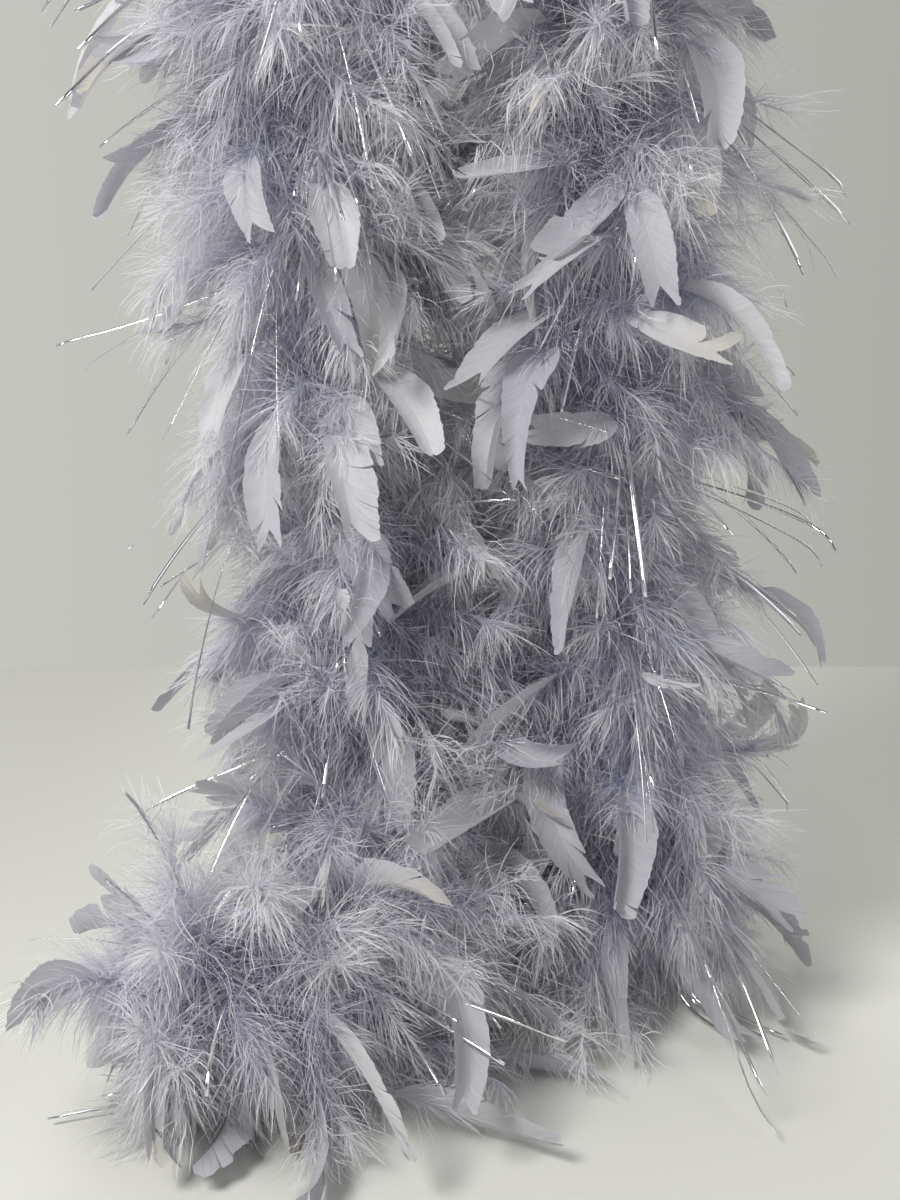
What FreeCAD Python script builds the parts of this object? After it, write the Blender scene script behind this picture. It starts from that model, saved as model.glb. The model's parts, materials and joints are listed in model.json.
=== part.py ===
"""A feather boa with tinsel, hung doubled over a rod, its left end lying on the surface below.

Frame: the origin is the inside top of the fold, where the core cord rests on the rod. +Z is up,
+X is to the right and -Y is the front. All lengths are in millimetres and all angles in degrees.

A twisted cotton cord carries everything. Thread wraps bind the quills of the feathers and the
tinsel to it in rings. Flat-tipped feathers reach the boa's full diameter, and shorter down
feathers fill the space between them. The boa is cut at its bending places into sections that
swing on hinges, and every section holds its own stretch of cord, wraps, feathers and tinsel.
"""

import FreeCAD, Part
import math
import os
import random

# Core cord
CORD_DIAMETER = 5.0
ROD_DIAMETER = 40.0
HINGE_GAP = 2.0  # between the cord's stretches, at a hinge
ARC_SHARE = 0.45  # of the shorter run beside it, taken up by each arc
SHORTEST_EDGE = 0.01  # shorter leftovers of a run or arc are left out
SMOOTHING = 34.0  # along the cord each way, over which its bending is averaged

# Surface under the boa
DROP = 880.0  # from the inside of the fold down to the surface
REST_HEIGHT = 46.0  # of the cord above the surface, where its left end lies on it

# Boa
REACH = 72.0  # from the cord to the tips of most flat-tipped feathers
REACH_SPREAD = (0.86, 1.26, 0.96)  # shortest, longest and usual reach, as shares of it
RING_PITCH = 25.0  # between the rings of flat-tipped feathers along the cord
FIRST_RING = 9.0  # from the top of the fold to the first ring
MIDDLE_GAP = 1.0  # from the feathers to the middle between the two halves
MIDDLE_SHIFT = 10.0  # to the right, of the middle near the surface
SHIFT_HEIGHTS = (246.0, 446.0)  # where that shift is whole, and where it starts
FLOOR_GAP = 0.6  # from the feathers to the surface

# Feathers
FEATHER_THICKNESS = 0.8
FLAT_PER_RING = 6
FLAT_ON_FOLD = 8  # per ring, where the fold spreads them out
DOWN_PER_RING = 5
FOLD_ENDS = 40.0  # from the top of the fold
DOWN_SHARE = 0.66  # of a flat-tipped feather's reach
DOWN_SPREAD = (0.9, 1.0)
DOWN_TURN = 30.0  # between the first flat-tipped feather of a ring and the down feather after it
LEAN = 53.0  # of the feathers away from the cord
LEAN_AT_FLOOR = 66.0
LEAN_FROM_HEIGHT = 300.0  # below this height the lean grows towards LEAN_AT_FLOOR
SHORTEST_FEATHER = 24.0
TRIM_STEP = 3.0  # by which a feather without room is shortened
CROWDING = 0.5  # of the way to a bend's centre, which the feathers inside the bend may fill
TINSEL_CROWDING = 0.2  # the same for the tinsel
LEAN_JITTER = 1.5
ROLL_JITTER = 7.0
ANGLE_JITTER = 4.0
GOLDEN_ANGLE = 137.508
SEED = 240
# Half the width at shares of the length, from quill to tip
FLAT_OUTLINE = [(0.0, 0.9), (0.5, 12.0), (0.76, 13.5), (0.93, 10.0), (1.0, 4.0)]
DOWN_OUTLINE = [(0.0, 0.9), (0.45, 13.5), (0.7, 15.0), (0.9, 10.0), (1.0, 4.0)]

# Thread wraps
WRAP_OUTER_RADIUS = 3.4
WRAP_INNER_RADIUS = 2.65
WRAP_HEIGHT = 4.0
QUILL_START = 3.8  # from the cord's middle to the end of a quill

# Tinsel
TINSEL_WIDTH = 1.4
TINSEL_THICKNESS = 0.3
TINSEL_PER_RING = 2
TINSEL_LEAN_JITTER = 1.0
TINSEL_ANGLE_JITTER = 20.0
TINSEL_TURN = 100.0
TINSEL_LENGTHS = (46.0, 118.0)

# End knots
KNOT_DIAMETER = 11.0
KNOT_GAP = 0.2  # between the cord's end and its knot

# The cord's route, from its left end over the rod to its right end: X, Y and height above the
# surface. The fold is the rod's own size, and the two halves hang against each other.
ROUTE = [
    (-126, -128, REST_HEIGHT),
    (-97, -120, REST_HEIGHT),
    (-71, -104, REST_HEIGHT + 1),
    (-53, -79, REST_HEIGHT + 10),
    (-46, -46, REST_HEIGHT + 36),
    (-50, -19, 125),
    (-56, -4, 178),
    (-58, 2, 232),
    (-63, 4, 302),
    (-70, -1, 374),
    (-75, -4, 446),
    (-73, 0, 518),
    (-76, 4, 590),
    (-75, 1, 662),
    (-69, 0, 728),
    (-52, 0, DROP - 97),
    (-34, 0, DROP - 50),
    (-25.5, 0, DROP - 22),
    (-20.2, 0, DROP - 8.4),
    (-11.6, 0, DROP + 0.2),
    (0, 0, DROP + 3.3),
    (11.6, 0, DROP + 0.2),
    (20.2, 0, DROP - 8.4),
    (25.5, 0, DROP - 22),
    (34, 0, DROP - 50),
    (52, 0, DROP - 97),
    (69, 0, 728),
    (75, -2, 662),
    (76, 3, 590),
    (73, 4, 518),
    (75, -2, 446),
    (78, -4, 374),
    (75, 1, 302),
    (76, 4, 230),
    (79, 0, 162),
    (83, -4, 100),
    (86, -6, REST_HEIGHT + 4),
]

# Each section's name and where it ends along the cord, counted from the top of the fold
LEFT_SECTIONS = [("crown", 122.0), ("left_upper", 348.0), ("left_middle", 574.0), ("left_lower", 800.0)]
RIGHT_SECTIONS = [("crown", 122.0), ("right_upper", 348.0), ("right_middle", 574.0)]


def vector(x, y, z):
    return FreeCAD.Vector(x, y, z)


def unit(v):
    return v * (1.0 / v.Length)


class Run:
    """A straight stretch of the cord's route."""

    def __init__(self, start, end):
        self.start = start
        self.direction = unit(end - start)
        self.length = (end - start).Length

    def point(self, along):
        return self.start + self.direction * along

    def tangent(self, along):
        return self.direction

    def edge(self, first, last):
        return Part.LineSegment(self.point(first), self.point(last)).toShape()


class Bend:
    """A circular arc of the cord's route, tangent to the runs before and after it."""

    def __init__(self, start, direction_in, direction_out, radius, angle):
        inward = direction_out - direction_in * direction_in.dot(direction_out)
        self.inward = unit(inward)
        self.forward = direction_in
        self.centre = start + self.inward * radius
        self.radius = radius
        self.length = radius * angle

    def point(self, along):
        turned = along / self.radius
        out = self.forward * math.sin(turned) - self.inward * math.cos(turned)
        return self.centre + out * self.radius

    def tangent(self, along):
        turned = along / self.radius
        return self.forward * math.cos(turned) + self.inward * math.sin(turned)

    def edge(self, first, last):
        middle = self.point((first + last) / 2)
        return Part.Arc(self.point(first), middle, self.point(last)).toShape()


class Path:
    """Straight runs joined by tangent arcs. Places on it are counted from the top of the fold."""

    def __init__(self, points):
        self.parts = []
        self.radii = []
        at = points[0]
        for before, corner, after in zip(points, points[1:], points[2:]):
            direction_in = unit(corner - before)
            direction_out = unit(after - corner)
            turn = direction_in.getAngle(direction_out)
            cut = ARC_SHARE * min((corner - before).Length, (after - corner).Length)
            radius = cut / math.tan(turn / 2)
            start = corner - direction_in * cut
            self.parts.append(Run(at, start))
            self.parts.append(Bend(start, direction_in, direction_out, radius, turn))
            self.radii.append(radius)
            at = corner + direction_out * cut
        self.parts.append(Run(at, points[-1]))
        self.starts = []
        total = 0.0
        for part in self.parts:
            self.starts.append(total)
            total += part.length
        self.length = total
        middles = [start + part.length / 2 for part, start in zip(self.parts, self.starts)]
        self.top = max(middles, key=lambda raw: self.raw_point(raw).z)
        self.low = -self.top
        self.high = total - self.top

    def find(self, raw):
        index = max(k for k, start in enumerate(self.starts) if start <= max(raw, 0.0))
        return self.parts[index], raw - self.starts[index]

    def raw_point(self, raw):
        part, along = self.find(raw)
        return part.point(along)

    def point(self, place):
        return self.raw_point(place + self.top)

    def tangent(self, place):
        part, along = self.find(place + self.top)
        return part.tangent(along)

    def bend(self, place):
        """The smoothed curvature vector, which points to the bend's centre and has length 1/radius."""
        first = max(place - SMOOTHING, self.low)
        last = min(place + SMOOTHING, self.high)
        return (self.tangent(last) - self.tangent(first)) * (1.0 / (last - first))

    def wire(self, first, last):
        edges = []
        for part, start in zip(self.parts, self.starts):
            begin = max(first + self.top, start)
            end = min(last + self.top, start + part.length)
            if end - begin > SHORTEST_EDGE:
                edges.append(part.edge(begin - start, end - start))
        return Part.Wire(edges)


def front_directions(path):
    """For each millimetre of the path, a direction square to it that starts as the front and never
    twists."""
    found = {}
    for way in (1, -1):
        front = vector(0, -1, 0)
        place = 0
        while path.low <= place <= path.high:
            tangent = path.tangent(place)
            front = unit(front - tangent * front.dot(tangent))
            found[place] = front
            place += way
    return found


PATH = Path([vector(*point) - vector(0, 0, DROP) for point in ROUTE])
FRONTS = front_directions(PATH)


def radial(place, angle):
    """The direction out from the cord at that place, turned by angle from the front."""
    tangent = PATH.tangent(place)
    front = FRONTS[int(place)]
    front = unit(front - tangent * front.dot(tangent))
    side = tangent.cross(front)
    turned = math.radians(angle)
    return front * math.cos(turned) + side * math.sin(turned)


def towards_end(place):
    """The cord's direction, away from the fold."""
    return PATH.tangent(place) * (1 if place > 0 else -1)


def cord(first, last):
    """The cord's stretch between two places, a plain tube."""
    wire = PATH.wire(first, last)
    circle = Part.Circle(PATH.point(first), PATH.tangent(first), CORD_DIAMETER / 2)
    profile = Part.Wire([circle.toShape()])
    return wire.makePipeShell([profile], True, False)


def wrap(place):
    """A few turns of binding thread round the cord, a short collar."""
    axis = PATH.tangent(place)
    base = PATH.point(place) - axis * (WRAP_HEIGHT / 2)
    outer = Part.makeCylinder(WRAP_OUTER_RADIUS, WRAP_HEIGHT, base, axis)
    return outer.cut(Part.makeCylinder(WRAP_INNER_RADIUS, WRAP_HEIGHT, base, axis))


def plate(root, direction, across, outline, length, thickness):
    """A flat closed solid with the outline's half widths along direction, spread along across."""
    normal = unit(direction.cross(across))
    base = root - normal * (thickness / 2)
    right = [base + direction * (share * length) + across * half for share, half in outline]
    left = [base + direction * (share * length) - across * half for share, half in reversed(outline)]
    corners = right + left
    face = Part.Face(Part.makePolygon(corners + corners[:1]))
    return face.extrude(normal * thickness)


def middle_at(height):
    """X of the middle between the two halves, at a height above the surface."""
    whole, start = SHIFT_HEIGHTS
    return MIDDLE_SHIFT * min(1.0, max(0.0, (start - height) / (start - whole)))


def has_room(point, side):
    """True if a point of a feather on that side, -1 left or 1 right, touches neither the other half, the
    surface below nor the rod."""
    above_rod = point.z + ROD_DIAMETER / 2
    return (
        point.z > FLOOR_GAP - DROP
        and (point.x - middle_at(point.z + DROP)) * side > MIDDLE_GAP
        and math.hypot(point.x, above_rod) > ROD_DIAMETER / 2
    )


def fits(root, direction, across, outline, length, side):
    """True if a feather of that length has room along its middle and both its edges."""
    stations = list(outline)
    for (share, half), (next_share, next_half) in zip(outline, outline[1:]):
        stations.append(((share + next_share) / 2, (half + next_half) / 2))
    for share, half in stations:
        for edge in (-half, 0, half):
            if not has_room(root + direction * (share * length) + across * edge, side):
                return False
    return True


def trimmed(root, direction, across, outline, length, side):
    """The length, cut down until it fits, or None if too little is left."""
    while not fits(root, direction, across, outline, length, side):
        length -= TRIM_STEP
        if length < SHORTEST_FEATHER:
            return None
    return length


def lean_at(place):
    """How far the feathers lean away from the cord: more near the surface, which holds them up."""
    height = PATH.point(place).z + DROP
    near = max(0.0, 1.0 - height / LEAN_FROM_HEIGHT)
    return LEAN + (LEAN_AT_FLOOR - LEAN) * near


def place_on_cone(place, angle, dice, lean_jitter):
    """The root, direction and width direction of something bound to the cord, leaning towards the cord's
    end, and the sine of its lean. At one lean, neighbouring rings lie on parallel cones and never meet."""
    out = radial(place, angle)
    lean = math.radians(lean_at(place) + dice.uniform(-lean_jitter, lean_jitter))
    direction = out * math.sin(lean) + towards_end(place) * math.cos(lean)
    root = PATH.point(place) + out * QUILL_START
    return out, root, direction, unit(direction.cross(out)), math.sin(lean)


def crowded(place, out, reach, share):
    """The reach, cut down inside a bend to that share of the way to the bend's centre."""
    crowd = PATH.bend(place).dot(out)
    return min(reach, share / crowd) if crowd > 0 else reach


def side_of(place):
    return 1 if place > 0 else -1


def feather(place, angle, outline, reach, dice):
    """One feather, bound to the cord at that place, or None without room."""
    out, root, direction, across, slope = place_on_cone(place, angle, dice, LEAN_JITTER)
    roll = math.radians(dice.uniform(-ROLL_JITTER, ROLL_JITTER))
    across = unit(across * math.cos(roll) + direction.cross(across) * math.sin(roll))
    length = (crowded(place, out, reach, CROWDING) - QUILL_START) / slope
    length = trimmed(root, direction, across, outline, length, side_of(place))
    return length and plate(root, direction, across, outline, length, FEATHER_THICKNESS)


def tinsel_strip(place, angle, dice):
    """One flat strip of tinsel, or None without room."""
    out, root, direction, across, slope = place_on_cone(place, angle, dice, TINSEL_LEAN_JITTER)
    outline = [(0.0, TINSEL_WIDTH / 2), (1.0, TINSEL_WIDTH / 2)]
    reach = QUILL_START + dice.uniform(*TINSEL_LENGTHS) * slope
    reach = crowded(place, out, reach, TINSEL_CROWDING)
    length = (reach - QUILL_START) / slope
    length = trimmed(root, direction, across, outline, length, side_of(place))
    return length and plate(root, direction, across, outline, length, TINSEL_THICKNESS)


def rings(first, last):
    """The places of the flat-tipped feathers' rings between two places on one side of the fold."""
    way = 1 if last > first else -1
    near, far = sorted((abs(first), abs(last)))
    place = FIRST_RING
    found = []
    while place < far - WRAP_HEIGHT:
        if place > near:
            found.append(way * place)
        place += RING_PITCH
    return found


def angles(count, turn, jitter, dice):
    """Evenly spaced angles round the cord, each a little off."""
    return [turn + k * 360.0 / count + dice.uniform(-jitter, jitter) for k in range(count)]


def dress(first, last, dice):
    """The wraps, feathers and tinsel of the cord between two places on one side of the fold."""
    made = {"binding_thread": [], "flat_feathers": [], "down_feathers": [], "tinsel": []}
    way = 1 if last > first else -1
    for place in rings(first, last):
        turn = round((abs(place) - FIRST_RING) / RING_PITCH) * GOLDEN_ANGLE
        flat_count = FLAT_ON_FOLD if abs(place) < FOLD_ENDS else FLAT_PER_RING
        made["binding_thread"].append(wrap(place))
        for angle in angles(flat_count, turn, ANGLE_JITTER, dice):
            reach = REACH * dice.triangular(*REACH_SPREAD)
            made["flat_feathers"].append(feather(place, angle, FLAT_OUTLINE, reach, dice))
        between = place + way * RING_PITCH / 2
        if abs(between) > abs(last) - WRAP_HEIGHT:
            continue
        made["binding_thread"].append(wrap(between))
        for angle in angles(DOWN_PER_RING, turn + DOWN_TURN, ANGLE_JITTER, dice):
            reach = REACH * DOWN_SHARE * dice.uniform(*DOWN_SPREAD)
            made["down_feathers"].append(feather(between, angle, DOWN_OUTLINE, reach, dice))
        for angle in angles(TINSEL_PER_RING, turn + TINSEL_TURN, TINSEL_ANGLE_JITTER, dice):
            made["tinsel"].append(tinsel_strip(place + way * RING_PITCH / 4, angle, dice))
    return made


def knot(place):
    """The knot in the cord's end."""
    centre = PATH.point(place) + towards_end(place) * (KNOT_DIAMETER / 2 + KNOT_GAP)
    return Part.makeSphere(KNOT_DIAMETER / 2, centre)


def export(name, shapes):
    shapes = [shape for shape in shapes if shape is not None]
    whole = shapes[0] if len(shapes) == 1 else Part.makeCompound(shapes)
    whole.exportStep("parts/" + name + ".step")
    volume = sum(shape.Volume for shape in shapes)
    print(f"{name}: {len(shapes)} solids, {volume / 1000:.1f} cm3")
    return volume


def spans():
    """Each section's name and its stretches (first, last), one on each side of the fold for the crown."""
    found = {}
    for way, sections, name_of_rest, end in (
        (-1, LEFT_SECTIONS, "left_tail", -PATH.low),
        (1, RIGHT_SECTIONS, "right_lower", PATH.high),
    ):
        before = 0.0
        for name, last in sections + [(name_of_rest, end)]:
            found.setdefault(name, []).append((way * before, way * last))
            before = last
    return found


def main():
    os.makedirs("parts", exist_ok=True)
    total = 0.0
    for number, (name, stretches) in enumerate(spans().items()):
        dice = random.Random(SEED + number)
        ends = [place for stretch in stretches for place in stretch]
        first, last = min(ends), max(ends)
        if first > PATH.low:
            first += HINGE_GAP / 2
        if last < PATH.high:
            last -= HINGE_GAP / 2
        tube = cord(first, last)
        section_volume = math.pi * (CORD_DIAMETER / 2) ** 2 * (last - first)
        print(f"{name}: {first:.0f} to {last:.0f}, tube {tube.Volume:.0f}, expected {section_volume:.0f}")
        total += export("core_cord_" + name, [tube])
        made = [dress(*stretch, dice) for stretch in stretches]
        for kind in made[0]:
            total += export(kind + "_" + name, [shape for part in made for shape in part[kind]])
    total += export("end_knot_left", [knot(PATH.low)])
    total += export("end_knot_right", [knot(PATH.high)])
    print("radii of the cord's bends:", [round(radius) for radius in PATH.radii])
    print(f"cord {PATH.length:.0f} mm, top at {PATH.point(0)}, all solids {total / 1e6:.2f} litres")


main()
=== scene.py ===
"""A pale lavender-grey feather boa with silver tinsel, hung doubled over a rod that isn't shown.

Every feather, plume, tinsel strip and thread wrap grows from the CAD solid that holds its place.
The boa is made in stretches. Each one reaches from the middle of one CAD section to the middle of
the next, and holds the one joint inside it. All lengths are in metres.
"""

import json
import math

import bpy
import numpy as np
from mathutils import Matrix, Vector

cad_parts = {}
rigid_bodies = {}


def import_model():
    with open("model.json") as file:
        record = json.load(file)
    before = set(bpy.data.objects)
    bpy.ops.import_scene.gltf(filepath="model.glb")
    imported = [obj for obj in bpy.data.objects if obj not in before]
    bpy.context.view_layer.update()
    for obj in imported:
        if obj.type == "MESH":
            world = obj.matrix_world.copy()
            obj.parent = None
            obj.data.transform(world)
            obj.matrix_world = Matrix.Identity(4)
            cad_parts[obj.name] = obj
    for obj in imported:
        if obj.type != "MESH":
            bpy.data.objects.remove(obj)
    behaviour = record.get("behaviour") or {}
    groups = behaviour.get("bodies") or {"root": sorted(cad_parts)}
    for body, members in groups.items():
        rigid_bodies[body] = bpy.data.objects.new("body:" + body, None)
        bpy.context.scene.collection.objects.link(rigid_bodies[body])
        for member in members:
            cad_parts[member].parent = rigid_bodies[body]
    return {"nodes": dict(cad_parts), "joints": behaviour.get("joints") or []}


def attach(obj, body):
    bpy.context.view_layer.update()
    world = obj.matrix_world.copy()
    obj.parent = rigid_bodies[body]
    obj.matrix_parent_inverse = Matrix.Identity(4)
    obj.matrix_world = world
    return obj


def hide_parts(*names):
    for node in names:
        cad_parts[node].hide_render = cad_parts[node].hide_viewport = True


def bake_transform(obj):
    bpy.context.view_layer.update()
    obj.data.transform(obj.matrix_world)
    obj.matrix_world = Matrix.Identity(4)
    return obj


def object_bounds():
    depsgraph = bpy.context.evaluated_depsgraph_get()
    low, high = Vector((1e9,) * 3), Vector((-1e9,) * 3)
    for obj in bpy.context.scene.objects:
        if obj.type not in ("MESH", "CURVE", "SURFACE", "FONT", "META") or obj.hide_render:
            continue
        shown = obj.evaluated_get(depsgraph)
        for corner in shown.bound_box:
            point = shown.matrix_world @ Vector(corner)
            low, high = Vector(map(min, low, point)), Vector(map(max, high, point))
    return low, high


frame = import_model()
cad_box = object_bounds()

SEED = 7
MM = 0.001

# Where the boa hangs: the origin is the inside top of its fold
DROP = 0.880
SURFACE = -DROP
REST_HEIGHT = 0.046
DOWN = np.array([0.0, 0.0, -1.0])

# Camera, at the photograph's height, distance and pitch
CAMERA_PLACE = (-0.002, -0.694, -0.537)
CAMERA_PITCH = 12.0
CAMERA_LENS = 43.5
CAMERA_SENSOR = 36.0

# Core cord: its route, from the left end over the fold to the right end, as X, Y and height
# above the surface
ROUTE = [
    (-0.126, -0.128, REST_HEIGHT),
    (-0.097, -0.120, REST_HEIGHT),
    (-0.071, -0.104, REST_HEIGHT + 0.001),
    (-0.053, -0.079, REST_HEIGHT + 0.010),
    (-0.046, -0.046, REST_HEIGHT + 0.036),
    (-0.050, -0.019, 0.125),
    (-0.056, -0.004, 0.178),
    (-0.058, 0.002, 0.232),
    (-0.063, 0.004, 0.302),
    (-0.070, -0.001, 0.374),
    (-0.075, -0.004, 0.446),
    (-0.073, 0.000, 0.518),
    (-0.076, 0.004, 0.590),
    (-0.075, 0.001, 0.662),
    (-0.069, 0.000, 0.728),
    (-0.052, 0.000, DROP - 0.097),
    (-0.034, 0.000, DROP - 0.050),
    (-0.0255, 0.000, DROP - 0.022),
    (-0.0202, 0.000, DROP - 0.0084),
    (-0.0116, 0.000, DROP + 0.0002),
    (0.000, 0.000, DROP + 0.0033),
    (0.0116, 0.000, DROP + 0.0002),
    (0.0202, 0.000, DROP - 0.0084),
    (0.0255, 0.000, DROP - 0.022),
    (0.034, 0.000, DROP - 0.050),
    (0.052, 0.000, DROP - 0.097),
    (0.069, 0.000, 0.728),
    (0.075, -0.002, 0.662),
    (0.076, 0.003, 0.590),
    (0.073, 0.004, 0.518),
    (0.075, -0.002, 0.446),
    (0.078, -0.004, 0.374),
    (0.075, 0.001, 0.302),
    (0.076, 0.004, 0.230),
    (0.079, 0.000, 0.162),
    (0.083, -0.004, 0.100),
    (0.086, -0.006, REST_HEIGHT + 0.004),
]
PLIES = 3
PLY_OFFSET = 1.35 * MM
PLY_RADIUS = 1.2 * MM
PLY_PITCH = 15.0 * MM
PLY_STEP = 1.6 * MM
PLY_SIDES = 7

# How far each side of a joint a stretch's start and end lie
BEND_REACH = 0.06

# Quills
PLATE_LEAN = 53.0  # degrees between a CAD plate and the cord
QUILL_STEPS = 20
FLAT_LEAN = (50.0, 112.0)  # degrees between the start of a quill and the cord
PLUME_LEAN = (52.0, 122.0)
TINSEL_LEAN = (40.0, 92.0)
LEAN_TURN = 18.0  # degrees by which a quill strays to either side
ROOT_STRAY = 10.0 * MM  # along the cord
FLAT_DROOP = (0.6, 1.9)  # how far gravity turns a quill over its length
PLUME_DROOP = (0.2, 1.2)
CURL = 0.55  # radians of sideways curl over a quill's length, usual
STRONG_CURL = 1.7
ARCH = 0.40  # the same towards a quill's flat side
STRONG_ARCH = 1.3
STRONG_SHARE = 0.28  # of the quills
TWIST = 0.5  # radians about a quill's own line, over its length
FLAT_LENGTH = (1.0, 1.28)  # of the CAD plate's length
PLUME_LENGTH = (1.1, 1.42)
LONGEST = 128.0 * MM
INNER_LENGTH = (52.0 * MM, 24.0 * MM)  # added to quills that point at the boa's other half: the
INNER_HEIGHT = 0.32  # first on the surface, and less and less up to the second at this height
LEFT_REACH = 50.0 * MM  # from the left end, where quills lean forward to cover it
LEFT_LEAN = 0.45  # of the usual lean, at the left end
LEFT_LENGTH = 0.62  # of the usual length there
RIGHT_REACH = 110.0 * MM  # from the right end, where quills spread over the surface
RIGHT_LEAN = 0.55
RIGHT_LENGTH = 1.42
FOOT_HEIGHT = 0.10  # below which the boa is piled up, and has FOOT_TIMES as many quills
FOOT_TIMES = 2
INNER_POINTING = 0.6  # above which quills point at the other half, and are INNER_TIMES as many
INNER_TIMES = 2
LEVELLING = 2.5  # steps over which a quill or strip levels off above the surface
QUILL_CLEARANCE = (3.0 * MM, 13.0 * MM)  # of a quill above the surface
DROOP_GROWTH = (0.6, 1.4)  # of the usual droop, at a quill's root and tip
BEND_GROWTH = (0.3, 1.7)  # the same for its curl and arch
QUILL_RADIUS = (0.55 * MM, 0.10 * MM)  # at its root and tip
QUILL_SIDES = 4

# Vanes
VANE_LINES = 36  # barb lines on each side of the quill
VANE_POINTS = 6  # along each barb line
VANE_START = (0.36, 0.50)  # share of the quill where the closed vane starts
VANE_STOP = 0.985  # where its last barb lines start
FISH_TAIL_STOP = 0.9  # the same in a fish tail
VANE_WIDTH = (14.0 * MM, 21.0 * MM)
VANE_CUTS = (0.012, 0.07)  # chance of a split after each barb line, at the vane's start and tip
RAGGED_SHARE = 0.12  # of the vane sides, whose locks are drawn into points
RAGGED_DRAWN = (0.25, 0.5)  # how far a lock's lines are drawn together at their ends
USUAL_DRAWN = (0.0, 0.08)
LOCK_TURN = 0.06
LOCK_LIFT = 0.07
LOCK_ROUNDING = 0.06  # by which a lock's outer lines are shorter
BARB_LINE_BEND = 0.30  # radians towards the tip, over a barb line's length
VANE_CUP = (0.0, 0.6)  # how far a vane's edges bend back
EDGE_STRAY = (0.96, 1.04)
VANE_FOOT = 0.45  # its width where it starts, of its full width
VANE_NARROW_SIDE = 0.65  # of the other side's width, or more
SHORT_FLAT = 60.0 * MM  # quills shorter than this have narrower vanes
VANE_SLANT = (58.0, 32.0)  # degrees of the barb lines to the quill, at the vane's start and tip
SLANT_LATE = 0.8  # above 1, the slant changes mostly near the tip
SLANT_STRAY = 2.0
WISP_START = (0.66, 0.82)
WISP_WIDTH = (5.0 * MM, 10.0 * MM)
# Each kind's odds, the share of the vane where it is full width, its width at the tip, how late it
# narrows, and how far its barbs pass the quill's tip
KINDS = {
    "square": (0.22, 0.55, 0.95, 3.0, 9.0 * MM),
    "blunt": (0.20, 0.35, 0.75, 3.0, 5.0 * MM),
    "leaf": (0.13, 0.40, 0.50, 2.0, 2.0 * MM),
    "sickle": (0.13, 0.22, 0.40, 1.2, 6.0 * MM),
    "fish_tail": (0.05, 0.30, 0.95, 2.0, 22.0 * MM),
    "wisp": (0.27, 0.50, 0.30, 1.5, 3.0 * MM),
}
CREAM_SHARE = 0.14  # of the vanes, whose tips are creamy
CREAM = (0.4, 1.0)
QUILL_CREAM = 0.25

# Down barbs
FLUFF_PER_FEATHER = 400
FLUFF_OVER_VANE = 0.16  # share of the quill
PLUMES_PER_PLATE = 2
BARBS_PER_PLUME = 340
BARBS_IN_PIECE = 24500  # each has 8 triangles, and a piece at most 200 000
BARB_LENGTH = 39.0 * MM
BARB_STEPS = 4
BARB_TAPER = (0.8, 1.0, 0.9, 0.65, 0.25)
BARB_WIDTH = 0.40 * MM
WIDTH_STRAY = (0.6, 1.3)
FIRST_BARB = 0.02  # share of the quill below it
BARB_CROWDING = 1.25  # above 1, there are more barbs near the quill's root
# Usual value, how far locks stray from it, and how far barbs stray from their lock
BARB_ROLL = (0.0, 0.85, 0.60)  # radians about the quill
BARB_REACH = (0.92, 0.12, 0.16)  # of the barb length
BARB_DROOP = (0.15, 0.13, 0.10)  # per step
BARB_WAVE = (0.40, 0.12, 0.14)
BARB_PHASE = (0.0, 2.0, 0.5)
BARB_OPENING = (76.0, 44.0)  # degrees to the quill, at its root and tip
OPENING_STRAY = (16.0, 15.0)
REACH_LIMITS = (0.3, 1.35)
SHORT_PLUME = 55.0 * MM  # quills shorter than this have shorter barbs
TIP_SHORTER = 0.42  # by which barbs are shorter at the tip
AXIS_STRAY = 0.35
WAVE_STEP = 1.4  # radians of wave per step
BARB_SWEEP = 0.07  # towards the quill's tip, per step
LOCKS = 14  # on each side of a quill
CLUMPING = (0.0, 0.42)  # how far the tips of a lock are drawn together
CLUMP_RISE = 1.5  # above 1, that happens mostly near their tips
SURFACE_GAP = 0.6 * MM
SOFT_FLOOR = 7.0 * MM  # height over which feathers are pressed together above the surface

# Room for the boa: the CAD box and what fabric may stand proud of it
ROOM_SHARE = 0.03
ROOM = 8.5 * MM
SOFT_EDGE = 14.0 * MM  # over which feathers are pressed together inside the room's sides

# Tinsel
TINSEL_WIDTH = 1.5 * MM
TINSEL_THICKNESS = 0.06 * MM
TINSEL_STEPS = 14
TINSEL_EACH = 4
TINSEL_LENGTH = (1.0, 1.2)  # of the CAD strip's length
TINSEL_MORE = (18.0 * MM, 50.0 * MM)  # added to it
TINSEL_DROOP = (0.1, 1.1)
TINSEL_STRAY = 0.10  # of its heading from its neighbours'
TINSEL_BEND = 0.35  # radians over its length
TINSEL_TWIST = 1.6  # the same about its own line
TINSEL_TURN = 0.9  # about its own line, at its root
TINSEL_CRINKLE = 0.012  # radians per step
TINSEL_CLEARANCE = 2.0 * MM  # above the surface

# Thread wraps
THREAD_RADIUS = 0.28 * MM
THREAD_COIL = 2.85 * MM  # from the cord's middle
THREAD_TURNS = 6
THREAD_WIDTH = 3.8 * MM
THREAD_POINTS = 14
THREAD_SIDES = 5

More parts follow.
